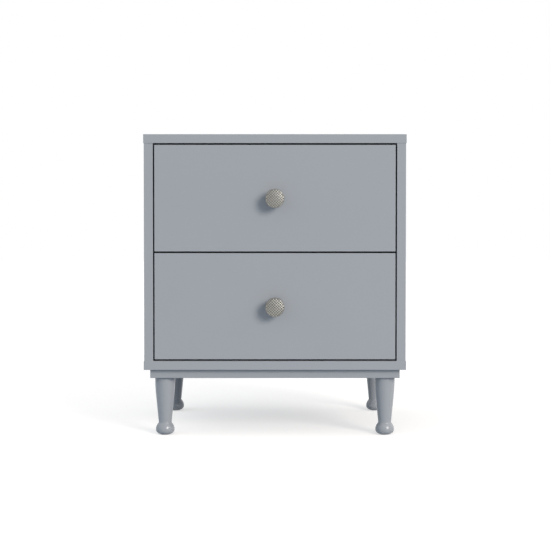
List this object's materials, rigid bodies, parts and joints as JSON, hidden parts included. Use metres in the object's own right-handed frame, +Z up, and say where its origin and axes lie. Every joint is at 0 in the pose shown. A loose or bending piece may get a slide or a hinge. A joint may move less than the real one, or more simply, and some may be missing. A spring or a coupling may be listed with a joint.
{
  "type": "nightstand",
  "caption": "Painted bedside cabinet on turned legs, with inset drawers that slide out on telescopic ball-bearing runners and round knurled metal knobs.",
  "frame": {"origin": "on the floor, midway between the sides and midway between the knob tips and the back edge", "axes": "+Z up, -Y towards the person who opens the drawers, +X to that person's right"},
  "size_m": [0.528, 0.429, 0.61],
  "materials": {
    "painted_wood": "satin paint",
    "back_board": "painted hardboard",
    "box_wood": "clear lacquer",
    "dowel_wood": "bare beech",
    "nickel": "satin nickel",
    "runner_steel": "zinc plated",
    "cage_steel": "bright steel",
    "zinc_steel": "zinc plated",
    "cast_zinc": "cast zinc",
    "glide_nylon": "matt nylon"
  },
  "bodies": {
    "carcass": {"top_panel": "painted_wood", "bottom_panel": "painted_wood", "left_side_panel": "painted_wood", "right_side_panel": "painted_wood", "base_front_rail": "painted_wood", "base_back_rail": "painted_wood", "base_left_rail": "painted_wood", "base_right_rail": "painted_wood", "front_left_leg": "painted_wood", "front_right_leg": "painted_wood", "back_left_leg": "painted_wood", "back_right_leg": "painted_wood", "back_panel": "back_board", "foot_glides": "glide_nylon", "case_cam_locks": "cast_zinc", "case_cam_studs": "zinc_steel", "base_screws": "zinc_steel", "leg_bolts": "zinc_steel", "leg_tee_nuts": "zinc_steel", "cabinet_member_screws": "zinc_steel", "case_dowels": "dowel_wood", "upper_left_cabinet_member": "runner_steel", "upper_right_cabinet_member": "runner_steel", "lower_left_cabinet_member": "runner_steel", "lower_right_cabinet_member": "runner_steel"},
    "upper_drawer": {"upper_front": "painted_wood", "upper_box_front": "box_wood", "upper_box_back": "box_wood", "upper_box_left": "box_wood", "upper_box_right": "box_wood", "upper_box_bottom": "box_wood", "upper_box_dowels": "dowel_wood", "upper_front_screws": "zinc_steel", "upper_knob": "nickel", "upper_knob_screw": "zinc_steel", "upper_member_screws": "zinc_steel", "upper_left_drawer_member": "runner_steel", "upper_right_drawer_member": "runner_steel"},
    "upper_middle_members": {"upper_left_middle_member": "runner_steel", "upper_right_middle_member": "runner_steel"},
    "upper_outer_ball_cages": {"upper_outer_ball_cages": "cage_steel"},
    "upper_inner_ball_cages": {"upper_inner_ball_cages": "cage_steel"},
    "lower_drawer": {"lower_front": "painted_wood", "lower_box_front": "box_wood", "lower_box_back": "box_wood", "lower_box_left": "box_wood", "lower_box_right": "box_wood", "lower_box_bottom": "box_wood", "lower_box_dowels": "dowel_wood", "lower_front_screws": "zinc_steel", "lower_knob": "nickel", "lower_knob_screw": "zinc_steel", "lower_member_screws": "zinc_steel", "lower_left_drawer_member": "runner_steel", "lower_right_drawer_member": "runner_steel"},
    "lower_middle_members": {"lower_left_middle_member": "runner_steel", "lower_right_middle_member": "runner_steel"},
    "lower_outer_ball_cages": {"lower_outer_ball_cages": "cage_steel"},
    "lower_inner_ball_cages": {"lower_inner_ball_cages": "cage_steel"}
  },
  "joints": [
    {"name": "upper_drawer_slide", "type": "slide", "parent": "carcass", "child": "upper_drawer", "axis": [0, -1, 0], "range_m": [0, 0.34]},
    {"name": "upper_middle_member_slide", "type": "slide", "parent": "carcass", "child": "upper_middle_members", "axis": [0, -1, 0], "range_m": [0, 0.17]},
    {"name": "upper_outer_cage_roll", "type": "slide", "parent": "carcass", "child": "upper_outer_ball_cages", "axis": [0, -1, 0], "range_m": [0, 0.085]},
    {"name": "upper_inner_cage_roll", "type": "slide", "parent": "carcass", "child": "upper_inner_ball_cages", "axis": [0, -1, 0], "range_m": [0, 0.255]},
    {"name": "lower_drawer_slide", "type": "slide", "parent": "carcass", "child": "lower_drawer", "axis": [0, -1, 0], "range_m": [0, 0.34]},
    {"name": "lower_middle_member_slide", "type": "slide", "parent": "carcass", "child": "lower_middle_members", "axis": [0, -1, 0], "range_m": [0, 0.17]},
    {"name": "lower_outer_cage_roll", "type": "slide", "parent": "carcass", "child": "lower_outer_ball_cages", "axis": [0, -1, 0], "range_m": [0, 0.085]},
    {"name": "lower_inner_cage_roll", "type": "slide", "parent": "carcass", "child": "lower_inner_ball_cages", "axis": [0, -1, 0], "range_m": [0, 0.255]}
  ],
  "couplings": [
    {"joint": "upper_middle_member_slide", "follows": "upper_drawer_slide", "ratio": 0.5},
    {"joint": "upper_outer_cage_roll", "follows": "upper_drawer_slide", "ratio": 0.25},
    {"joint": "upper_inner_cage_roll", "follows": "upper_drawer_slide", "ratio": 0.75},
    {"joint": "lower_middle_member_slide", "follows": "lower_drawer_slide", "ratio": 0.5},
    {"joint": "lower_outer_cage_roll", "follows": "lower_drawer_slide", "ratio": 0.25},
    {"joint": "lower_inner_cage_roll", "follows": "lower_drawer_slide", "ratio": 0.75}
  ]
}
